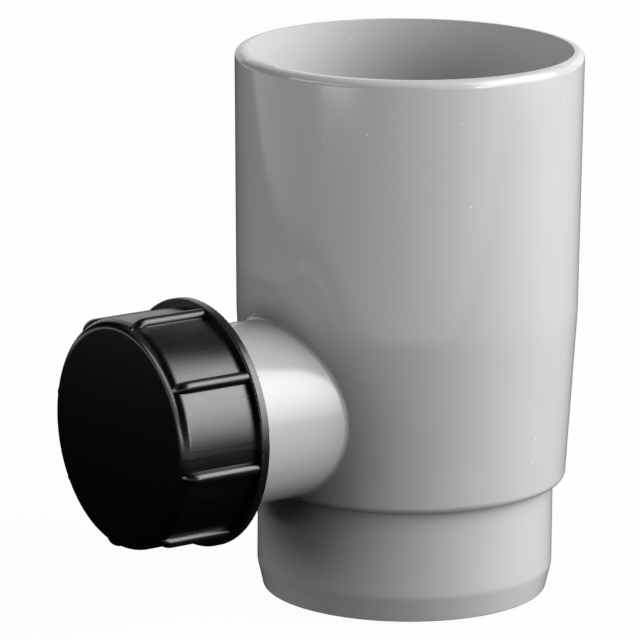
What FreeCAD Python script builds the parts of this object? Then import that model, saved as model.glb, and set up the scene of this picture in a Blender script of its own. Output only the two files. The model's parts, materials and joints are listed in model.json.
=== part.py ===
"""Rainwater diverter for a round downpipe: a moulded body with a side branch, closed by a screw cap.

The frame stands on the spigot's end: +Z runs up the downpipe's axis and the branch points along -Y.
All sizes are millimetres, all angles degrees.
"""
import FreeCAD, Part
import math
import os

# Socket that slips over the end of the upper downpipe
PIPE_DIA = 80.0
SOCKET_PLAY = 0.45
SOCKET_LENGTH = 65.0
SOCKET_DRAFT = 0.58
MOUTH_FLARE = 0.1
MOUTH_FLARE_LENGTH = 14.0
RIM_WALL = 2.6
RIM_ROUND = 2.0

# Tapered chamber between the socket and the spigot
CHAMBER_LENGTH = 43.2
CHAMBER_WALL = 2.25
SHOULDER_BLEND = 60.0
STEP_WIDTH = 3.0
LIP_ROUND = 2.0

# Spigot that slips into the lower downpipe
SPIGOT_DIA = 74.0
SPIGOT_LENGTH = 28.3
SPIGOT_WALL = 2.6
LEAD_IN_LENGTH = 6.4
LEAD_IN_DEPTH = 1.5
LEAD_IN_BLEND = 6.0
FOOT_ROUND = 0.5

# Catch trough and overflow tube inside the chamber
FLOOR_THICKNESS = 2.3
FLOOR_FILLET = 1.5
OVERFLOW_BORE = 46.0
OVERFLOW_WALL = 2.0
OVERFLOW_HEIGHT = 26.0
OVERFLOW_LIP_ROUND = 0.8

# Branch that carries an inch-and-a-half pipe thread, drawn at the thread's root
THREAD_MAJOR_DIA = 47.8
THREAD_DEPTH = 1.48
BRANCH_WALL = 2.5
BRANCH_REACH = 81.2
BRANCH_RISE = 0.3
BRANCH_ROOT_FILLET = 1.2
BRANCH_MOUTH_CHAMFER = 0.6
BORE_OVERRUN = 1.0

# Sealing ring clamped between the branch's mouth and the cap
RING_THICKNESS = 2.6
RING_PLAY = 0.4
RING_SETBACK = 0.3

# Screw cap with eight grip ribs and a flange round its open end
THREAD_PLAY = 0.3
CAP_LENGTH = 23.5
CAP_WALL = 4.1
CAP_FACE_THICKNESS = 2.8
CAP_FACE_ROUND = 2.5
CAP_ENTRY_CHAMFER = 0.8
FLANGE_WIDTH = 2.2
FLANGE_THICKNESS = 2.25
FLANGE_EDGE_ROUND = 0.4
RIB_COUNT = 8
RIB_PHASE = 10.3
RIB_HEIGHT = 1.75
RIB_CREST_ROUND = 1.5
RIB_FOOT_FILLET = 0.2
RIB_FOOT_SINK = 0.05
RIB_END_SETBACK = 0.2

# How near two points or surfaces lie that count as one
POINT_TOLERANCE = 1e-6
SURFACE_TOLERANCE = 0.01

# Heights along the pipe's axis
step_z = SPIGOT_LENGTH
floor_z = step_z + FLOOR_THICKNESS
weir_z = floor_z + OVERFLOW_HEIGHT
shoulder_z = step_z + CHAMBER_LENGTH
top_z = shoulder_z + SOCKET_LENGTH

# Radii about the pipe's axis
spigot_r = SPIGOT_DIA / 2
spigot_bore_r = spigot_r - SPIGOT_WALL
lip_r = spigot_r + STEP_WIDTH
trough_r = lip_r - CHAMBER_WALL
socket_r = PIPE_DIA / 2 + SOCKET_PLAY
mouth_r = socket_r + MOUTH_FLARE
rim_r = mouth_r + RIM_WALL
shoulder_r = rim_r - SOCKET_LENGTH * math.tan(math.radians(SOCKET_DRAFT))
overflow_bore_r = OVERFLOW_BORE / 2
overflow_r = overflow_bore_r + OVERFLOW_WALL

# Radii about the branch's axis, and its height
thread_r = THREAD_MAJOR_DIA / 2
branch_r = thread_r - THREAD_DEPTH
branch_bore_r = branch_r - BRANCH_WALL
branch_z = step_z + BRANCH_RISE + branch_r
cap_bore_r = thread_r + THREAD_PLAY
cap_r = cap_bore_r + CAP_WALL
flange_r = cap_r + FLANGE_WIDTH
rib_r = cap_r + RIB_HEIGHT
rib_end_round = CAP_FACE_ROUND + RIB_HEIGHT

# Distances out along the branch from the pipe's axis
cap_seat = BRANCH_REACH + RING_THICKNESS
cap_face = cap_seat + CAP_FACE_THICKNESS
flange_rear = cap_face - CAP_LENGTH
flange_front = flange_rear + FLANGE_THICKNESS


def outline(corners):
    """Closed wire in the XZ plane through (x, z, rounding) corners, each rounded by a tangent arc."""
    points = [FreeCAD.Vector(x, 0, z) for x, z, _ in corners]
    stops = []
    edges = []
    for i, (_, _, rounding) in enumerate(corners):
        corner = points[i]
        if not rounding:
            stops.append((corner, corner))
            continue
        back = (points[i - 1] - corner).normalize()
        ahead = (points[(i + 1) % len(points)] - corner).normalize()
        half = back.getAngle(ahead) / 2
        inward = (back + ahead).normalize()
        start = corner + back * (rounding / math.tan(half))
        end = corner + ahead * (rounding / math.tan(half))
        middle = corner + inward * (rounding / math.sin(half) - rounding)
        edges.append(Part.Arc(start, middle, end).toShape())
        stops.append((start, end))
    for i, (start, _) in enumerate(stops):
        leave = stops[i - 1][1]
        if leave.distanceToPoint(start) > POINT_TOLERANCE:
            edges.append(Part.LineSegment(leave, start).toShape())
    return Part.Wire(Part.__sortEdges__(edges))


def turned(corners):
    """Solid of revolution about Z from (radius, height, rounding) corners."""
    face = Part.Face(outline(corners))
    return face.revolve(FreeCAD.Vector(0, 0, 0), FreeCAD.Vector(0, 0, 1), 360)


def on_branch(shape):
    """Carry a shape modelled up Z from the pipe's axis onto the branch, with its +Y turned upwards."""
    placed = shape.copy()
    placed.Placement = FreeCAD.Placement(
        FreeCAD.Vector(0, 0, branch_z), FreeCAD.Rotation(FreeCAD.Vector(1, 0, 0), 90)
    )
    return placed


def pipe_shell():
    """Socket, chamber, step, spigot, trough floor and overflow tube as one turned section."""
    return turned([
        (spigot_bore_r, 0, 0),
        (spigot_r - LEAD_IN_DEPTH, 0, FOOT_ROUND),
        (spigot_r, LEAD_IN_LENGTH, LEAD_IN_BLEND),
        (spigot_r, step_z, 0),
        (lip_r, step_z, LIP_ROUND),
        (shoulder_r, shoulder_z, SHOULDER_BLEND),
        (rim_r, top_z, RIM_ROUND),
        (mouth_r, top_z, 0),
        (socket_r, top_z - MOUTH_FLARE_LENGTH, 0),
        (socket_r, shoulder_z, 0),
        (trough_r, floor_z, FLOOR_FILLET),
        (overflow_r, floor_z, FLOOR_FILLET),
        (overflow_r, weir_z, OVERFLOW_LIP_ROUND),
        (overflow_bore_r, weir_z, OVERFLOW_LIP_ROUND),
        (overflow_bore_r, step_z, OVERFLOW_LIP_ROUND),
        (spigot_bore_r, step_z, FLOOR_FILLET),
    ])


def branch_tube():
    """Branch as a solid bar that starts in the middle of the pipe shell's wall."""
    bar = on_branch(turned([
        (0, overflow_r, 0),
        (branch_r, overflow_r, 0),
        (branch_r, BRANCH_REACH, BRANCH_MOUTH_CHAMFER),
        (0, BRANCH_REACH, 0),
    ]))
    inside = turned([
        (0, step_z, 0),
        (trough_r + CHAMBER_WALL / 2, step_z, 0),
        ((socket_r + shoulder_r) / 2, shoulder_z, 0),
        ((socket_r + shoulder_r) / 2, top_z, 0),
        (0, top_z, 0),
    ])
    return bar.cut(inside)


def root_edges(shape):
    """Edges where the branch leaves the outside of the pipe shell."""
    found = []
    for edge in shape.Edges:
        points = edge.discretize(9)
        on_tube = all(abs(math.hypot(p.x, p.z - branch_z) - branch_r) < SURFACE_TOLERANCE for p in points)
        at_wall = all(math.hypot(p.x, p.y) < rim_r and -p.y > overflow_r for p in points)
        if on_tube and at_wall:
            found.append(edge)
    return found


def diverter_body():
    """Pipe shell with the branch blended to its outside and bored through into the trough."""
    body = pipe_shell().fuse(branch_tube())
    body = body.makeFillet(BRANCH_ROOT_FILLET, root_edges(body))
    bore = on_branch(turned([
        (0, overflow_r + OVERFLOW_WALL, 0),
        (branch_bore_r, overflow_r + OVERFLOW_WALL, 0),
        (branch_bore_r, BRANCH_REACH + BORE_OVERRUN, 0),
        (0, BRANCH_REACH + BORE_OVERRUN, 0),
    ]))
    return body.cut(bore)


def sealing_ring():
    """Flat rubber ring on the branch's mouth."""
    inner = branch_bore_r + RING_SETBACK
    outer = cap_bore_r - RING_PLAY
    return on_branch(turned([
        (inner, BRANCH_REACH, 0),
        (outer, BRANCH_REACH, 0),
        (outer, cap_seat, 0),
        (inner, cap_seat, 0),
    ]))


def grip_rib():
    """One grip rib at the top of the cap: a rounded crest that bends down into the face's edge."""
    foot = cap_r - RIB_FOOT_SINK
    crest_y = rib_r - RIB_CREST_ROUND
    reach = RIB_CREST_ROUND + RIB_FOOT_FILLET
    flank_y = ((foot + RIB_FOOT_FILLET) ** 2 - reach ** 2 + crest_y ** 2) / (2 * crest_y)
    flank_x = math.sqrt((foot + RIB_FOOT_FILLET) ** 2 - flank_y ** 2)
    crest = FreeCAD.Vector(0, crest_y, 0)
    right = FreeCAD.Vector(flank_x, flank_y, 0)
    shoulder = crest + (right - crest) * (RIB_CREST_ROUND / reach)
    toe = right * (foot / (foot + RIB_FOOT_FILLET))
    hollow = right + ((shoulder + toe) / 2 - right).normalize() * RIB_FOOT_FILLET
    top = FreeCAD.Vector(0, rib_r, 0)
    base = FreeCAD.Vector(toe.x, cap_r - CAP_FACE_ROUND / 2, 0)

    def left(point):
        return FreeCAD.Vector(-point.x, point.y, 0)

    section = Part.Wire([
        Part.LineSegment(left(base), base).toShape(),
        Part.LineSegment(base, toe).toShape(),
        Part.Arc(toe, hollow, shoulder).toShape(),
        Part.Arc(shoulder, top, left(shoulder)).toShape(),
        Part.Arc(left(shoulder), left(hollow), left(toe)).toShape(),
        Part.LineSegment(left(toe), left(base)).toShape(),
    ])
    profile = Part.Face(section)
    rear_z = flange_rear + FLANGE_THICKNESS / 2
    bend_z = cap_face - RIB_END_SETBACK - rib_end_round
    profile.translate(FreeCAD.Vector(0, 0, rear_z))
    bar = profile.extrude(FreeCAD.Vector(0, 0, bend_z - rear_z))
    profile.translate(FreeCAD.Vector(0, 0, bend_z - rear_z))
    pivot = FreeCAD.Vector(0, rib_r - rib_end_round, bend_z)
    nose = profile.revolve(pivot, FreeCAD.Vector(1, 0, 0), 90)
    return bar.fuse(nose)


def screw_cap():
    """Cap with its flange, face and grip ribs, its threaded bore drawn plain."""
    shell = turned([
        (cap_bore_r + CAP_ENTRY_CHAMFER, flange_rear, 0),
        (flange_r, flange_rear, FLANGE_EDGE_ROUND),
        (flange_r, flange_front, FLANGE_EDGE_ROUND),
        (cap_r, flange_front, 0),
        (cap_r, cap_face, CAP_FACE_ROUND),
        (0, cap_face, 0),
        (0, cap_seat, 0),
        (cap_bore_r, cap_seat, 0),
        (cap_bore_r, flange_rear + CAP_ENTRY_CHAMFER, 0),
    ])
    first = grip_rib()
    ribs = []
    for i in range(RIB_COUNT):
        rib = first.copy()
        turn = -(RIB_PHASE + i * 360 / RIB_COUNT)
        rib.rotate(FreeCAD.Vector(0, 0, 0), FreeCAD.Vector(0, 0, 1), turn)
        ribs.append(rib)
    return on_branch(shell.multiFuse(ribs))


os.makedirs("parts", exist_ok=True)
diverter_body().exportStep("parts/diverter_body.step")
screw_cap().exportStep("parts/screw_cap.step")
sealing_ring().exportStep("parts/sealing_ring.step")
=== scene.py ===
"""Dressed scene of a rainwater diverter: grey PVC moulding, black screw cap, studio and camera."""

import json
import logging
import math
from abc import ABC, abstractmethod
from dataclasses import dataclass
from enum import Enum, IntEnum
from typing import Any

import bpy
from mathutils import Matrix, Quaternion, Vector


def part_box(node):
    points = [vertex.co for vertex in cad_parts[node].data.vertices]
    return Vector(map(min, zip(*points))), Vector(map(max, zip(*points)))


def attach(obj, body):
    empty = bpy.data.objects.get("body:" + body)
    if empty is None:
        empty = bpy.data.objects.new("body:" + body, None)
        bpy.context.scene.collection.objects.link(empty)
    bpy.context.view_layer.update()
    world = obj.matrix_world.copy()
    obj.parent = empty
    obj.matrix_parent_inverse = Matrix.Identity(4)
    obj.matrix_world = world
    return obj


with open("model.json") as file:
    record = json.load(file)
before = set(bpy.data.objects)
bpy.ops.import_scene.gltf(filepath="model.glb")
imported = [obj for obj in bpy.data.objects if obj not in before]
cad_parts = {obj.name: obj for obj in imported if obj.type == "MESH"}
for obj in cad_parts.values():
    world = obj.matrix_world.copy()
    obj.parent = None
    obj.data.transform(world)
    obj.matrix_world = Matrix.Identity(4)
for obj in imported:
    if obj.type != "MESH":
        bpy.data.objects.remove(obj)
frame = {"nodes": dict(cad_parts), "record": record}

LOG = logging.getLogger("diverter")
WHITE = "#FFFFFF"

MM = 0.001
INCH = 25.4 * MM

# The branch runs out along -Y at this height, and the cap turns about the same axis.
BRANCH_HEIGHT = next(m["pos_m"][2] for m in frame["record"]["mounts"] if m["name"] == "branch_outlet")
# The cap's outer face, out along the branch from the pipe's axis, when screwed home.
FACE_REACH = -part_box("screw_cap")[0][1]

# Inch-and-a-half pipe thread, eleven threads to the inch: its radius over the crests, and the cap's play.
THREAD_RADIUS = 23.9 * MM
THREAD_DEPTH = 1.48 * MM
THREAD_PLAY = 0.3 * MM
THREAD_PITCH = INCH / 11
# Where the thread starts, out along the branch from the pipe's axis.
THREAD_START = 66 * MM

# The camera's place and what it looks at, and its side of the object in degrees from -Y towards +X.
CAMERA_PLACE = Vector((1.0213, -0.7654, 0.3772))
CAMERA_AIM = Vector((-0.0130, -0.0173, 0.0675))
CAMERA_BEARING = math.degrees(math.atan2(CAMERA_PLACE.x, -CAMERA_PLACE.y))
# The middle of the object, which the lamps face.
LAMP_TARGET = Vector((0, 0, 70 * MM))

# Most of a noise texture's values lie between these.
NOISE_LOW = 0.3
NOISE_HIGH = 0.7


class MixInput(IntEnum):
    """Inputs of a Mix node, by number, because they share their names."""

    FACTOR = 0
    NUMBER_A = 2
    NUMBER_B = 3
    VECTOR_A = 4
    VECTOR_B = 5
    COLOUR_A = 6
    COLOUR_B = 7


class MixOutput(IntEnum):
    """Outputs of a Mix node, by number, because they share their names."""

    NUMBER = 0
    VECTOR = 1
    COLOUR = 2


def linear(hex_colour: str) -> tuple[float, float, float, float]:
    """Turn an sRGB hex colour into the linear colour that a shader takes.

    Args:
        hex_colour: six hex digits after a hash sign.

    Returns:
        Red, green, blue and an alpha of 1, linear.
    """
    channels = [int(hex_colour[i:i + 2], 16) / 255 for i in (1, 3, 5)]
    straight = [c / 12.92 if c <= 0.04045 else ((c + 0.055) / 1.055) ** 2.4 for c in channels]
    return (*straight, 1.0)


def per_mm(size_mm: float) -> float:
    """Scale of a texture whose features are this many millimetres across."""
    return 1 / (size_mm * MM)


def bare_tree(owner: bpy.types.Material | bpy.types.World | bpy.types.Light) -> bpy.types.NodeTree:
    """Switch on the nodes of a material, a world or a lamp, and clear them.

    Args:
        owner: what the nodes belong to.

    Returns:
        The empty node tree.
    """
    owner.use_nodes = True
    owner.node_tree.nodes.clear()
    return owner.node_tree


def add_node(tree: bpy.types.NodeTree, kind: str, links: dict[int | str, Any] | None = None,
             **settings: Any) -> bpy.types.Node:
    """Add one node to a tree, with its settings, its values and its links.

    Args:
        tree: the material's, the lamp's or the world's node tree.
        kind: the node's Blender type name.
        links: input socket, by name or number, to a value or to the output socket that feeds it.
        settings: the node's own properties.

    Returns:
        The new node.
    """
    made = tree.nodes.new(kind)
    for name, value in settings.items():
        setattr(made, name, value)
    for socket, value in (links or {}).items():
        if isinstance(value, bpy.types.NodeSocket):
            tree.links.new(value, made.inputs[socket])
        else:
            made.inputs[socket].default_value = value
    return made


def clear_selection() -> None:
    """Leave edit mode and deselect every object."""
    if bpy.context.object and bpy.context.object.mode != "OBJECT":
        bpy.ops.object.mode_set(mode="OBJECT")
    bpy.ops.object.select_all(action="DESELECT")


def set_in_place(piece: bpy.types.Object) -> None:
    """Move an object's place, turn and scale into its mesh.

    Args:
        piece: the object, which ends up active and alone in the selection.
    """
    clear_selection()
    piece.select_set(True)
    bpy.context.view_layer.objects.active = piece
    bpy.ops.object.transform_apply(location=True, rotation=True, scale=True)


def wear(piece: bpy.types.Object, material: bpy.types.Material) -> None:
    """Give a piece one material all over."""
    piece.data.materials.clear()
    piece.data.materials.append(material)


@dataclass(frozen=True)
class Finish(ABC):
    """A material's common values; each kind of surface adds its own pattern."""

    name: str
    colour: str
    roughness: float
    ior: float

    def material(self) -> bpy.types.Material:
        """Make the material.

        Returns:
            A new material with this finish's shader and pattern.
        """
        made = bpy.data.materials.new(self.name)
        tree = bare_tree(made)
        place = add_node(tree, "ShaderNodeTexCoord").outputs["Object"]
        shader = add_node(tree, "ShaderNodeBsdfPrincipled", {
            "Base Color": linear(self.colour), "Roughness": self.roughness, "IOR": self.ior})
        add_node(tree, "ShaderNodeOutputMaterial", {"Surface": shader.outputs["BSDF"]})
        made.diffuse_color = linear(self.colour)
        made.roughness = self.roughness
        self.pattern(tree, place, shader)
        return made

    @abstractmethod
    def pattern(self, tree: bpy.types.NodeTree, place: bpy.types.NodeSocket,
                shader: bpy.types.Node) -> None:
        """Add this surface's variation of colour, roughness and height to the shader.

        Args:
            tree: the material's node tree.
            place: object coordinates.
            shader: the material's shader.
        """


@dataclass(frozen=True)
class MouldedPvc(Finish):
    """Rigid PVC out of a polished mould: an even grey with a soft gloss."""

    # Clouds of pigment that mixed a little unevenly.
    light: str = "#BEBEBE"
    cloud_mm: float = 40.0
    # Dust: at most one speck to a cell, and a share of the cells stays clean.
    dust: str = "#DADADA"
    dust_cell_mm: float = 6.0
    speck_mm: float = 0.5
    clean_share: float = 0.4
    # Drag lines of the mould, up and down, and how far they leave the common roughness.
    drag_width_mm: float = 1.2
    drag_length_mm: float = 30.0
    smoother: float = 0.02
    rougher: float = 0.03
    # Skin ripples a few micrometres high, which bend reflections slightly.
    ripple_mm: float = 4.0
    ripple_height: float = 0.006 * MM
    # How far to either side of +X the walls' closing line is smoothed, in degrees, clear of the branch.
    seam_angle: float = 25.8

    def pattern(self, tree: bpy.types.NodeTree, place: bpy.types.NodeSocket,
                shader: bpy.types.Node) -> None:
        """Cloudy tone, a few specks of dust, drag lines of the mould and a faintly rippled skin.

        Args:
            tree: the material's node tree.
            place: object coordinates.
            shader: the material's shader.
        """
        tree.links.new(self.dusty_tone(tree, place), shader.inputs["Base Color"])
        tree.links.new(self.drawn_gloss(tree, place), shader.inputs["Roughness"])
        ripple = add_node(tree, "ShaderNodeTexNoise", {
            "Vector": place, "Scale": per_mm(self.ripple_mm), "Detail": 2.0})
        bump = add_node(tree, "ShaderNodeBump", {
            "Height": ripple.outputs["Fac"], "Strength": 1.0, "Distance": self.ripple_height,
            "Normal": self.turned_normal(tree, place)})
        tree.links.new(bump.outputs["Normal"], shader.inputs["Normal"])

    def dusty_tone(self, tree: bpy.types.NodeTree, place: bpy.types.NodeSocket) -> bpy.types.NodeSocket:
        """Cloud the grey and scatter specks of dust on it.

        Args:
            tree: the material's node tree.
            place: object coordinates.

        Returns:
            The colour.
        """
        cloud = add_node(tree, "ShaderNodeTexNoise", {
            "Vector": place, "Scale": per_mm(self.cloud_mm), "Detail": 3.0})
        tone = add_node(tree, "ShaderNodeMix", {
            MixInput.FACTOR: cloud.outputs["Fac"], MixInput.COLOUR_A: linear(self.colour),
            MixInput.COLOUR_B: linear(self.light)}, data_type="RGBA")
        cells = add_node(tree, "ShaderNodeTexVoronoi", {
            "Vector": place, "Scale": per_mm(self.dust_cell_mm)})
        near = add_node(tree, "ShaderNodeMath", {
            0: cells.outputs["Distance"], 1: self.speck_mm / 2 / self.dust_cell_mm}, operation="LESS_THAN")
        chosen = add_node(tree, "ShaderNodeSeparateColor", {"Color": cells.outputs["Color"]})
        some = add_node(tree, "ShaderNodeMath", {
            0: chosen.outputs["Red"], 1: self.clean_share}, operation="GREATER_THAN")
        speck = add_node(tree, "ShaderNodeMath", {
            0: near.outputs["Value"], 1: some.outputs["Value"]}, operation="MULTIPLY")
        dusty = add_node(tree, "ShaderNodeMix", {
            MixInput.FACTOR: speck.outputs["Value"], MixInput.COLOUR_A: tone.outputs[MixOutput.COLOUR],
            MixInput.COLOUR_B: linear(self.dust)}, data_type="RGBA")
        return dusty.outputs[MixOutput.COLOUR]

    def drawn_gloss(self, tree: bpy.types.NodeTree, place: bpy.types.NodeSocket) -> bpy.types.NodeSocket:
        """Vary the gloss along the lines where the moulding slid off its core.

        Args:
            tree: the material's node tree.
            place: object coordinates.

        Returns:
            The roughness.
        """
        along = add_node(tree, "ShaderNodeVectorMath", {
            0: place, 1: (1.0, 1.0, self.drag_width_mm / self.drag_length_mm)}, operation="MULTIPLY")
        lines = add_node(tree, "ShaderNodeTexNoise", {
            "Vector": along.outputs["Vector"], "Scale": per_mm(self.drag_width_mm), "Detail": 2.0})
        gloss = add_node(tree, "ShaderNodeMapRange", {
            "Value": lines.outputs["Fac"], "From Min": NOISE_LOW, "From Max": NOISE_HIGH,
            "To Min": self.roughness - self.smoother, "To Max": self.roughness + self.rougher})
        return gloss.outputs["Result"]

    def turned_normal(self, tree: bpy.types.NodeTree, place: bpy.types.NodeSocket) -> bpy.types.NodeSocket:
        """Point the normal straight away from the pipe's axis where the turned walls close, at +X.

        Args:
            tree: the material's node tree.
            place: object coordinates.

        Returns:
            The normal, without the kink that the closing line leaves in the mesh's own.
        """
        own = add_node(tree, "ShaderNodeTexCoord").outputs["Normal"]
        flat = add_node(tree, "ShaderNodeVectorMath", {0: place, 1: (1, 1, 0)}, operation="MULTIPLY")
        outward = add_node(tree, "ShaderNodeVectorMath", {
            0: flat.outputs["Vector"]}, operation="NORMALIZE").outputs["Vector"]
        level = add_node(tree, "ShaderNodeVectorMath", {0: own, 1: (1, 1, 0)}, operation="MULTIPLY")
        upright = add_node(tree, "ShaderNodeVectorMath", {0: own, 1: (0, 0, 1)}, operation="MULTIPLY")
        lean = add_node(tree, "ShaderNodeVectorMath", {
            0: level.outputs["Vector"], 1: outward}, operation="DOT_PRODUCT")
        radial = add_node(tree, "ShaderNodeVectorMath", {
            0: outward, "Scale": lean.outputs["Value"]}, operation="SCALE")
        turned = add_node(tree, "ShaderNodeVectorMath", {
            0: radial.outputs["Vector"], 1: upright.outputs["Vector"]}, operation="ADD")
        unit = add_node(tree, "ShaderNodeVectorMath", {
            0: turned.outputs["Vector"]}, operation="NORMALIZE")
        # Only beside the closing line: elsewhere the mesh's own normal stays.
        facing = add_node(tree, "ShaderNodeVectorMath", {
            0: outward, 1: (1, 0, 0)}, operation="DOT_PRODUCT")
        near = add_node(tree, "ShaderNodeMath", {
            0: facing.outputs["Value"], 1: math.cos(math.radians(self.seam_angle))},
            operation="GREATER_THAN")
        both = add_node(tree, "ShaderNodeMix", {
            MixInput.FACTOR: near.outputs["Value"], MixInput.VECTOR_A: own,
            MixInput.VECTOR_B: unit.outputs["Vector"]}, data_type="VECTOR")
        return both.outputs[MixOutput.VECTOR]


@dataclass(frozen=True)
class SatinPolypropylene(Finish):
    """Black polypropylene out of a fine blasted mould: near black with a satin sheen."""

    # Rib crests and flange, rubbed paler by hands in patches.
    rubbed: str = "#161616"
    crest_radius: float = 29.3 * MM
    crest_band: float = 0.5 * MM
    rub_patch_mm: float = 5.0
    # Draw lines along the axis, where the cap slid out of its mould.
    draw_width_mm: float = 0.4
    draw_length_mm: float = 10.0
    draw_height: float = 0.005 * MM
    gloss_spread: float = 0.04
    # The face, pressed against polished steel and smoother than the sides, and the band between them.
    face_at: float = -FACE_REACH
    face_depth: float = 0.4 * MM
    face_band: float = 1.2 * MM
    face_roughness: float = 0.2

    def pattern(self, tree: bpy.types.NodeTree, place: bpy.types.NodeSocket,
                shader: bpy.types.Node) -> None:
        """Draw lines along the axis, crests rubbed by hands, and a smoother face.

        Args:
            tree: the material's node tree.
            place: object coordinates.
            shader: the material's shader.
        """
        tree.links.new(self.rubbed_tone(tree, place), shader.inputs["Base Color"])
        drawn = add_node(tree, "ShaderNodeVectorMath", {
            0: place, 1: (1.0, self.draw_width_mm / self.draw_length_mm, 1.0)}, operation="MULTIPLY")
        lines = add_node(tree, "ShaderNodeTexNoise", {
            "Vector": drawn.outputs["Vector"], "Scale": per_mm(self.draw_width_mm), "Detail": 3.0})
        gloss = add_node(tree, "ShaderNodeMapRange", {
            "Value": lines.outputs["Fac"], "From Min": NOISE_LOW, "From Max": NOISE_HIGH,
            "To Min": self.roughness - self.gloss_spread, "To Max": self.roughness + self.gloss_spread})
        reach = add_node(tree, "ShaderNodeSeparateXYZ", {"Vector": place})
        face_end = self.face_at + self.face_depth
        side = add_node(tree, "ShaderNodeMapRange", {
            "Value": reach.outputs["Y"], "From Min": face_end, "From Max": face_end + self.face_band,
            "To Min": 0.0, "To Max": 1.0})
        sheen = add_node(tree, "ShaderNodeMix", {
            MixInput.FACTOR: side.outputs["Result"], MixInput.NUMBER_A: self.face_roughness,
            MixInput.NUMBER_B: gloss.outputs["Result"]})
        tree.links.new(sheen.outputs[MixOutput.NUMBER], shader.inputs["Roughness"])
        bump = add_node(tree, "ShaderNodeBump", {
            "Height": lines.outputs["Fac"], "Strength": 1.0, "Distance": self.draw_height})
        tree.links.new(bump.outputs["Normal"], shader.inputs["Normal"])

    def rubbed_tone(self, tree: bpy.types.NodeTree, place: bpy.types.NodeSocket) -> bpy.types.NodeSocket:
        """Make the black paler in patches where hands rub the rib crests and the flange.

        Args:
            tree: the material's node tree.
            place: object coordinates.

        Returns:
            The colour.
        """
        # Distance from the cap's axis, which tells the crests and the flange from the panels.
        across = add_node(tree, "ShaderNodeVectorMath", {
            0: place, 1: (1.0, 0.0, 1.0), 2: (0.0, 0.0, -BRANCH_HEIGHT)}, operation="MULTIPLY_ADD")
        radius = add_node(tree, "ShaderNodeVectorMath", {
            0: across.outputs["Vector"]}, operation="LENGTH")
        crest = add_node(tree, "ShaderNodeMapRange", {
            "Value": radius.outputs["Value"], "From Min": self.crest_radius,
            "From Max": self.crest_radius + self.crest_band, "To Min": 0.0, "To Max": 1.0})
        patches = add_node(tree, "ShaderNodeTexNoise", {
            "Vector": place, "Scale": per_mm(self.rub_patch_mm), "Detail": 4.0})
        rub = add_node(tree, "ShaderNodeMath", {
            0: crest.outputs["Result"], 1: patches.outputs["Fac"]}, operation="MULTIPLY")
        tone = add_node(tree, "ShaderNodeMix", {
            MixInput.FACTOR: rub.outputs["Value"], MixInput.COLOUR_A: linear(self.colour),
            MixInput.COLOUR_B: linear(self.rubbed)}, data_type="RGBA")
        return tone.outputs[MixOutput.COLOUR]


@dataclass(frozen=True)
class CutRubber(Finish):
    """Rubber ring cut from sheet: dull, dark grey, with a faint talc bloom."""

    # Patches of talc.
    bloom: str = "#343434"
    talc_mm: float = 2.5
    # Marks of the cloth that the sheet was pressed in.
    mark_mm: float = 0.4
    mark_height: float = 0.03 * MM

    def pattern(self, tree: bpy.types.NodeTree, place: bpy.types.NodeSocket,
                shader: bpy.types.Node) -> None:
        """Patchy talc bloom and the sheet's cloth-like press marks.

        Args:
            tree: the material's node tree.
            place: object coordinates.
            shader: the material's shader.
        """
        talc = add_node(tree, "ShaderNodeTexNoise", {
            "Vector": place, "Scale": per_mm(self.talc_mm), "Detail": 4.0})
        tone = add_node(tree, "ShaderNodeMix", {
            MixInput.FACTOR: talc.outputs["Fac"], MixInput.COLOUR_A: linear(self.colour),
            MixInput.COLOUR_B: linear(self.bloom)}, data_type="RGBA")
        tree.links.new(tone.outputs[MixOutput.COLOUR], shader.inputs["Base Color"])
        marks = add_node(tree, "ShaderNodeTexNoise", {
            "Vector": place, "Scale": per_mm(self.mark_mm), "Detail": 1.0})
        bump = add_node(tree, "ShaderNodeBump", {
            "Height": marks.outputs["Fac"], "Strength": 1.0, "Distance": self.mark_height})
        tree.links.new(bump.outputs["Normal"], shader.inputs["Normal"])


class ThreadSide(Enum):
    """Which wall a thread ridge stands on, with the ridge's name."""

    OUTSIDE_BRANCH = "branch_thread"
    INSIDE_CAP = "cap_thread"


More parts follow.
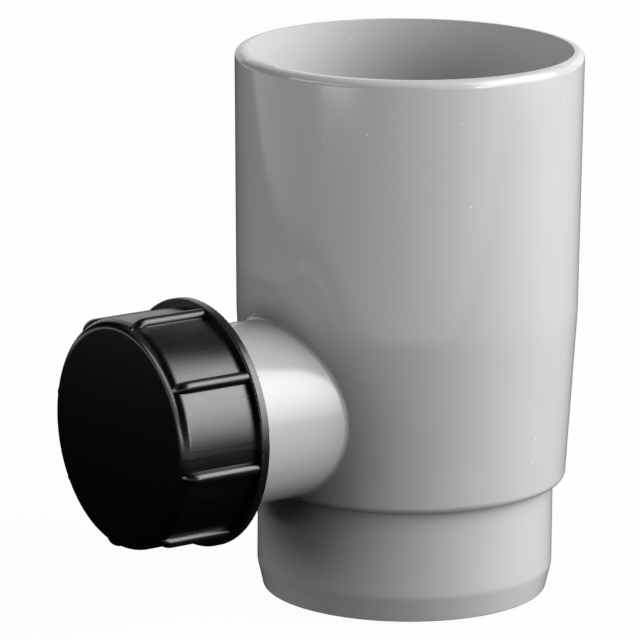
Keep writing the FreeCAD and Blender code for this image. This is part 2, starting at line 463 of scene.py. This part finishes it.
@dataclass
class ThreadRidge:
    """One thread's ridge, wound along the branch's axis from near the body outwards."""

    side: ThreadSide
    wall_radius: float
    crest_radius: float
    start: float
    turns: float
    root_width: float = 1.5 * MM
    crest_width: float = 0.36 * MM
    crest_round: float = 0.14 * MM
    crest_segments: int = 2
    sunk: float = 0.1 * MM
    steps_per_turn: int = 72
    # Each end sinks into the wall over this part of a turn, down to this share of the ridge's height.
    fade_turns: float = 0.35
    end_share: float = 0.04
    smooth_angle: float = 40.0

    @property
    def root_radius(self) -> float:
        """Radius of the ridge's root, which is sunk a little into its wall."""
        return self.wall_radius + math.copysign(self.sunk, self.wall_radius - self.crest_radius)

    def section(self) -> bpy.types.Object:
        """Model the ridge's cross-section in the XZ plane, with its crest's corners rounded.

        Returns:
            An object whose mesh is the closed outline of the section.
        """
        clear_selection()
        bpy.ops.mesh.primitive_plane_add(size=1, rotation=(math.pi / 2, 0, 0))
        outline = bpy.context.object
        outline.name = self.side.value
        outline.scale = (abs(self.crest_radius - self.root_radius), self.root_width, 1)
        outline.location = ((self.crest_radius + self.root_radius) / 2, 0, 0)
        set_in_place(outline)
        bpy.ops.object.mode_set(mode="EDIT")
        bpy.ops.mesh.select_all(action="DESELECT")
        bpy.ops.mesh.select_mode(type="VERT")
        bpy.ops.object.mode_set(mode="OBJECT")
        for vertex in outline.data.vertices:
            vertex.select = abs(vertex.co.x - self.crest_radius) < abs(vertex.co.x - self.root_radius)
        bpy.ops.object.mode_set(mode="EDIT")
        bpy.ops.transform.resize(value=(1, 1, self.crest_width / self.root_width))
        bpy.ops.mesh.bevel(affect="VERTICES", offset=self.crest_round, segments=self.crest_segments)
        bpy.ops.mesh.select_all(action="SELECT")
        bpy.ops.mesh.delete(type="ONLY_FACE")
        bpy.ops.object.mode_set(mode="OBJECT")
        return outline

    def wind(self, ridge: bpy.types.Object) -> None:
        """Screw the section along the axis, sink both ends into the wall and close them.

        Args:
            ridge: the section, which becomes the ridge.
        """
        corners = len(ridge.data.vertices)
        screw = ridge.modifiers.new("wind", "SCREW")
        screw.axis = "Z"
        screw.angle = 2 * math.pi * self.turns
        screw.screw_offset = THREAD_PITCH * self.turns
        screw.steps = round(self.steps_per_turn * self.turns)
        screw.render_steps = screw.steps
        bpy.ops.object.modifier_apply(modifier="wind")
        last = len(ridge.data.vertices) // corners - 1
        fade = self.fade_turns * self.steps_per_turn
        for vertex in ridge.data.vertices:
            step = vertex.index // corners
            share = min(1.0, min(step, last - step) / fade)
            kept = self.end_share + (1 - self.end_share) * math.sin(share * math.pi / 2)
            radius = vertex.co.xy.length
            vertex.co.xy *= (self.root_radius + (radius - self.root_radius) * kept) / radius
        bpy.ops.object.mode_set(mode="EDIT")
        bpy.ops.mesh.select_all(action="SELECT")
        bpy.ops.mesh.fill_holes(sides=0)
        bpy.ops.mesh.select_all(action="SELECT")
        bpy.ops.mesh.normals_make_consistent(inside=False)
        bpy.ops.object.mode_set(mode="OBJECT")

    def build(self, material: bpy.types.Material, body: str, slot: str) -> bpy.types.Object:
        """Model the ridge, set it on its wall and let it ride on its body.

        Args:
            material: the finish of the wall that carries it.
            body: the CAD body that it moves with.
            slot: the record's material slot, not used.

        Returns:
            The finished ridge.
        """
        ridge = self.section()
        self.wind(ridge)
        ridge.rotation_euler = (math.pi / 2, 0, 0)
        ridge.location = (0, -self.start, BRANCH_HEIGHT)
        set_in_place(ridge)
        bpy.ops.object.shade_smooth_by_angle(angle=math.radians(self.smooth_angle))
        wear(ridge, material)
        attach(ridge, body)
        return ridge


@dataclass(kw_only=True)
class DressedSolid:
    """A CAD solid whose shape is right and which gets a finish."""

    finish: Finish
    node: str

    def dress(self) -> list[bpy.types.Object]:
        """Give the solid its finish.

        Returns:
            The solid.
        """
        solid = frame["nodes"][self.node]
        wear(solid, self.finish.material())
        return [solid]


@dataclass(kw_only=True)
class ThreadedMoulding(DressedSolid):
    """A moulding that also carries a thread."""

    thread: ThreadRidge
    body: str
    slot: str

    def dress(self) -> list[bpy.types.Object]:
        """Give the solid its finish and wind the thread on.

        Returns:
            The solid and the thread's ridge.
        """
        [solid] = super().dress()
        return [solid, self.thread.build(solid.data.materials[0], self.body, self.slot)]


@dataclass(kw_only=True)
class DiverterBody(ThreadedMoulding):
    """The grey moulding, with the thread on its branch."""

    node: str = "diverter_body"
    body: str = "diverter"
    slot: str = "grey_pvc"


@dataclass(kw_only=True)
class ScrewCap(ThreadedMoulding):
    """The black cap, with the thread inside it."""

    node: str = "screw_cap"
    body: str = "cap"
    slot: str = "black_polypropylene"


@dataclass(kw_only=True)
class SealingRing(DressedSolid):
    """The flat rubber ring behind the cap's face."""

    node: str = "sealing_ring"


@dataclass
class PhotoCamera:
    """A long lens that looks down on the cap and the body from the front right."""

    place: Vector
    aim: Vector
    lens: float = 296.5
    sensor_width: float = 36.0
    roll: float = 0.0068
    sight_end: float = 50.0

    def build(self) -> bpy.types.Object:
        """Set the camera up and make it the scene's.

        Returns:
            The camera.
        """
        data = bpy.data.cameras.new("photo_camera")
        data.lens = self.lens
        data.sensor_width = self.sensor_width
        data.clip_end = self.sight_end
        camera = bpy.data.objects.new("photo_camera", data)
        bpy.context.scene.collection.objects.link(camera)
        level = (self.aim - self.place).to_track_quat("-Z", "Y")
        camera.location = self.place
        camera.rotation_mode = "QUATERNION"
        camera.rotation_quaternion = level @ Quaternion((0, 0, 1), self.roll)
        bpy.context.scene.camera = camera
        return camera


class PanelOutline(Enum):
    """The outline of a softbox."""

    SQUARE = "RECTANGLE"
    OVAL = "ELLIPSE"


@dataclass
class Softbox:
    """A lit panel that faces the object, even or graded from its lower to its upper edge.

    Its bearing is in degrees to the right of the camera's side, seen from above, and its elevation in
    degrees above the horizon. Its distance, width and length are in metres.
    """

    name: str
    bearing: float
    elevation: float
    distance: float
    size: tuple[float, float]
    radiance: float
    rows: tuple[float, ...] = ()
    outline: PanelOutline = PanelOutline.SQUARE

    def direction(self) -> Vector:
        """Find the way from the object to the panel.

        Returns:
            A vector of length 1.
        """
        turn = math.radians(CAMERA_BEARING + self.bearing)
        rise = math.radians(self.elevation)
        return Vector((math.sin(turn) * math.cos(rise), -math.cos(turn) * math.cos(rise), math.sin(rise)))

    def area(self) -> float:
        """Work out the panel's lit area.

        Returns:
            Square metres.
        """
        width, length = self.size
        return width * length * (math.pi / 4 if self.outline is PanelOutline.OVAL else 1)

    def grade(self, data: bpy.types.AreaLight) -> None:
        """Grade the panel's light from its lower to its upper edge.

        Args:
            data: the lamp.
        """
        tree = bare_tree(data)
        place = add_node(tree, "ShaderNodeNewGeometry").outputs["Parametric"]
        height = add_node(tree, "ShaderNodeSeparateXYZ", {"Vector": place}).outputs["Y"]
        ramp = add_node(tree, "ShaderNodeValToRGB", {"Fac": height})
        stops = ramp.color_ramp.elements
        steps = len(self.rows) - 1
        for i in range(1, steps):
            stops.new(i / steps)
        for stop, row in zip(stops, self.rows):
            stop.color = (row, row, row, 1)
        glow = add_node(tree, "ShaderNodeEmission", {"Color": ramp.outputs["Color"], "Strength": 1.0})
        add_node(tree, "ShaderNodeOutputLight", {"Surface": glow.outputs["Emission"]})

    def build(self) -> bpy.types.Object:
        """Hang the lamp and turn it to the object.

        Returns:
            The lamp.
        """
        data = bpy.data.lights.new(self.name, "AREA")
        data.shape = self.outline.value
        data.size, data.size_y = self.size
        data.energy = self.radiance * math.pi * self.area()
        if self.rows:
            self.grade(data)
        lamp = bpy.data.objects.new(self.name, data)
        bpy.context.scene.collection.objects.link(lamp)
        lamp.visible_camera = False
        lamp.location = LAMP_TARGET + self.direction() * self.distance
        lamp.rotation_mode = "QUATERNION"
        lamp.rotation_quaternion = self.direction().to_track_quat("Z", "Y")
        return lamp


@dataclass
class Studio:
    """A white floor, black cloth that keeps stray light off, and the softboxes. Lengths are in metres."""

    softboxes: tuple[Softbox, ...]
    # How much of the white world and floor reaches the object as light.
    world_fill: float = 0.1
    floor_bounce: float = 0.12
    # The floor's paper: most of it glows white, and the rest takes the object's shadow.
    paper: str = "#F2F2F2"
    floor_half: float = 6.0
    floor_drop: float = 0.5 * MM
    floor_glow: float = 0.96
    # Edges of the felt cloth, from the pipe's axis, as they lie to the camera.
    felt: str = "#0A0A0A"
    cloth_back: float = 1.3
    cloth_front: float = 0.286
    cloth_left_front: float = 0.362
    cloth_left_back: float = 0.907
    cloth_right_front: float = 0.62
    cloth_right_back: float = 0.75
    cloth_corner: float = 0.16
    cloth_corner_segments: int = 6
    drape_half: float = 2.8
    drape_top: float = 2.4

    @staticmethod
    def backdrop(tree: bpy.types.NodeTree) -> bpy.types.NodeSocket:
        """Tell what the eye and reflections see from what lights the object.

        Args:
            tree: the floor's or the world's node tree.

        Returns:
            A socket that is 1 for camera, glossy and transmission rays and 0 otherwise.
        """
        path = add_node(tree, "ShaderNodeLightPath")
        seen = path.outputs["Is Camera Ray"]
        for ray in ("Is Glossy Ray", "Is Transmission Ray"):
            either = add_node(tree, "ShaderNodeMath", {0: seen, 1: path.outputs[ray]}, operation="MAXIMUM")
            seen = either.outputs["Value"]
        return seen

    def surroundings(self) -> None:
        """White world for the eye and reflections, dim for the object's own light."""
        world = bpy.data.worlds.new("white_studio")
        bpy.context.scene.world = world
        tree = bare_tree(world)
        dim = add_node(tree, "ShaderNodeBackground", {
            "Color": linear(WHITE), "Strength": self.world_fill})
        white = add_node(tree, "ShaderNodeBackground", {"Color": linear(WHITE), "Strength": 1.0})
        both = add_node(tree, "ShaderNodeMixShader", {
            0: self.backdrop(tree), 1: dim.outputs["Background"], 2: white.outputs["Background"]})
        add_node(tree, "ShaderNodeOutputWorld", {"Surface": both.outputs["Shader"]})

    def floor(self) -> bpy.types.Object:
        """Lay the floor, white to the eye apart from the object's shadow.

        Returns:
            The floor.
        """
        clear_selection()
        bpy.ops.mesh.primitive_plane_add(size=2 * self.floor_half, location=(0, 0, -self.floor_drop))
        floor = bpy.context.object
        floor.name = "floor"
        set_in_place(floor)
        paper = bpy.data.materials.new("white_paper_floor")
        tree = bare_tree(paper)
        shade = add_node(tree, "ShaderNodeBsdfDiffuse", {"Color": linear(self.paper)})
        bounce = add_node(tree, "ShaderNodeEmission", {
            "Color": linear(WHITE), "Strength": self.floor_bounce})
        glow = add_node(tree, "ShaderNodeEmission", {"Color": linear(WHITE), "Strength": 1.0})
        white = add_node(tree, "ShaderNodeMixShader", {
            0: self.floor_glow, 1: shade.outputs["BSDF"], 2: glow.outputs["Emission"]})
        both = add_node(tree, "ShaderNodeMixShader", {
            0: self.backdrop(tree), 1: bounce.outputs["Emission"], 2: white.outputs["Shader"]})
        add_node(tree, "ShaderNodeOutputMaterial", {"Surface": both.outputs["Shader"]})
        wear(floor, paper)
        return floor

    def cloth(self) -> bpy.types.Object:
        """Lay the cloth round the object's foot, just above the floor, with one corner cut round.

        Returns:
            The cloth, square to the camera's side.
        """
        clear_selection()
        bpy.ops.mesh.primitive_plane_add(size=1)
        cloth = bpy.context.object
        cloth.name = "flag_cloth"
        # The plane's corners, in the order of its vertices.
        corners = (
            (-self.cloth_left_front, -self.cloth_front),
            (self.cloth_right_front, -self.cloth_front),
            (-self.cloth_left_back, self.cloth_back),
            (self.cloth_right_back, self.cloth_back),
        )
        for vertex, (across, away) in zip(cloth.data.vertices, corners):
            vertex.co = (across, away, -self.floor_drop / 2)
            vertex.select = vertex.index == 0
        bpy.ops.object.mode_set(mode="EDIT")
        bpy.ops.mesh.select_mode(type="VERT")
        bpy.ops.mesh.bevel(
            affect="VERTICES", offset=self.cloth_corner, segments=self.cloth_corner_segments)
        bpy.ops.object.mode_set(mode="OBJECT")
        return cloth

    def drapes(self) -> bpy.types.Object:
        """Hang drapes all round and over the studio, from just under the floor.

        Returns:
            The drapes, square to the camera's side.
        """
        clear_selection()
        bpy.ops.mesh.primitive_cube_add(size=1)
        drapes = bpy.context.object
        drapes.name = "flag_drapes"
        drapes.scale = (2 * self.drape_half, 2 * self.drape_half, self.drape_top)
        drapes.location = (0, 0, self.drape_top / 2 - 2 * self.floor_drop)
        return drapes

    def flags(self) -> list[bpy.types.Object]:
        """Set the black cloth and drapes up, unseen by the camera and casting no shadow.

        Returns:
            The cloth and the drapes.
        """
        felt = bpy.data.materials.new("black_felt")
        tree = bare_tree(felt)
        dull = add_node(tree, "ShaderNodeBsdfDiffuse", {"Color": linear(self.felt)})
        add_node(tree, "ShaderNodeOutputMaterial", {"Surface": dull.outputs["BSDF"]})
        flags = [self.cloth(), self.drapes()]
        for flag in flags:
            flag.rotation_euler = (0, 0, math.radians(CAMERA_BEARING))
            set_in_place(flag)
            wear(flag, felt)
            flag.visible_camera = False
            flag.visible_shadow = False
        return flags

    def build(self) -> None:
        """Set up the whole studio."""
        self.surroundings()
        self.floor()
        self.flags()
        for softbox in self.softboxes:
            softbox.build()
        bpy.context.scene.view_settings.view_transform = "Standard"


def photo_softboxes() -> tuple[Softbox, ...]:
    """Choose the softboxes that give the photo's light.

    Returns:
        The softboxes, the main light first.
    """
    return (
        # Broad light on the right, and a strip beside it for the bands on the branch and the cap.
        Softbox("key", bearing=84, elevation=31.5, distance=1.3, size=(1.3, 1.754), radiance=7.9,
                rows=(0.18, 0.42, 0.62, 0.85, 0.97, 0.95, 0.70, 0.38, 0.16)),
        Softbox("key_edge", bearing=50, elevation=16, distance=1.3, size=(0.32, 0.87), radiance=10.6,
                rows=(0.45, 1.0, 0.65, 0.32, 0.03)),
        # A small card near the floor, for the streak under the rim.
        Softbox("low_card", bearing=-46, elevation=-4.35, distance=0.672, size=(0.5, 0.04), radiance=6.5,
                outline=PanelOutline.OVAL),
        # Fill from the left, and light from behind along the edges.
        Softbox("left_fill", bearing=-62, elevation=15, distance=1.4, size=(1.1, 0.5), radiance=3.5),
        Softbox("high_fill", bearing=-85, elevation=42, distance=1.4, size=(1.1, 0.9), radiance=0.3),
        Softbox("back", bearing=180, elevation=14, distance=1.7, size=(2.6, 0.8), radiance=0.8),
        Softbox("left_back", bearing=-155, elevation=38, distance=1.5, size=(1.2, 0.9), radiance=0.9),
    )


def main() -> None:
    """Build and dress the object, then set up camera and studio."""
    logging.basicConfig(level=logging.INFO, format="%(name)s: %(message)s")
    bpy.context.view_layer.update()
    grey = MouldedPvc("moulded_grey_pvc", "#B8B8B8", roughness=0.10, ior=1.52)
    black = SatinPolypropylene("satin_black_polypropylene", "#030303", roughness=0.29, ior=1.62)
    rubber = CutRubber("cut_black_rubber", "#282828", roughness=0.75, ior=1.52)
    bore_radius = THREAD_RADIUS + THREAD_PLAY
    male = ThreadRidge(
        ThreadSide.OUTSIDE_BRANCH, wall_radius=THREAD_RADIUS - THREAD_DEPTH, crest_radius=THREAD_RADIUS,
        start=THREAD_START, turns=5.9)
    # The cap's ridge lies half a pitch off the branch's, one turn further out.
    female = ThreadRidge(
        ThreadSide.INSIDE_CAP, wall_radius=bore_radius, crest_radius=bore_radius - THREAD_DEPTH,
        start=THREAD_START + 1.5 * THREAD_PITCH, turns=4.5)
    body = DiverterBody(finish=grey, thread=male)
    cap = ScrewCap(finish=black, thread=female)
    for part in (body, cap, SealingRing(finish=rubber)):
        for piece in part.dress():
            LOG.info("%s: %d faces, %s", piece.name, len(piece.data.polygons),
                     piece.data.materials[0].name)
    PhotoCamera(CAMERA_PLACE, CAMERA_AIM).build()
    Studio(photo_softboxes()).build()


if __name__ == "__main__":
    main()
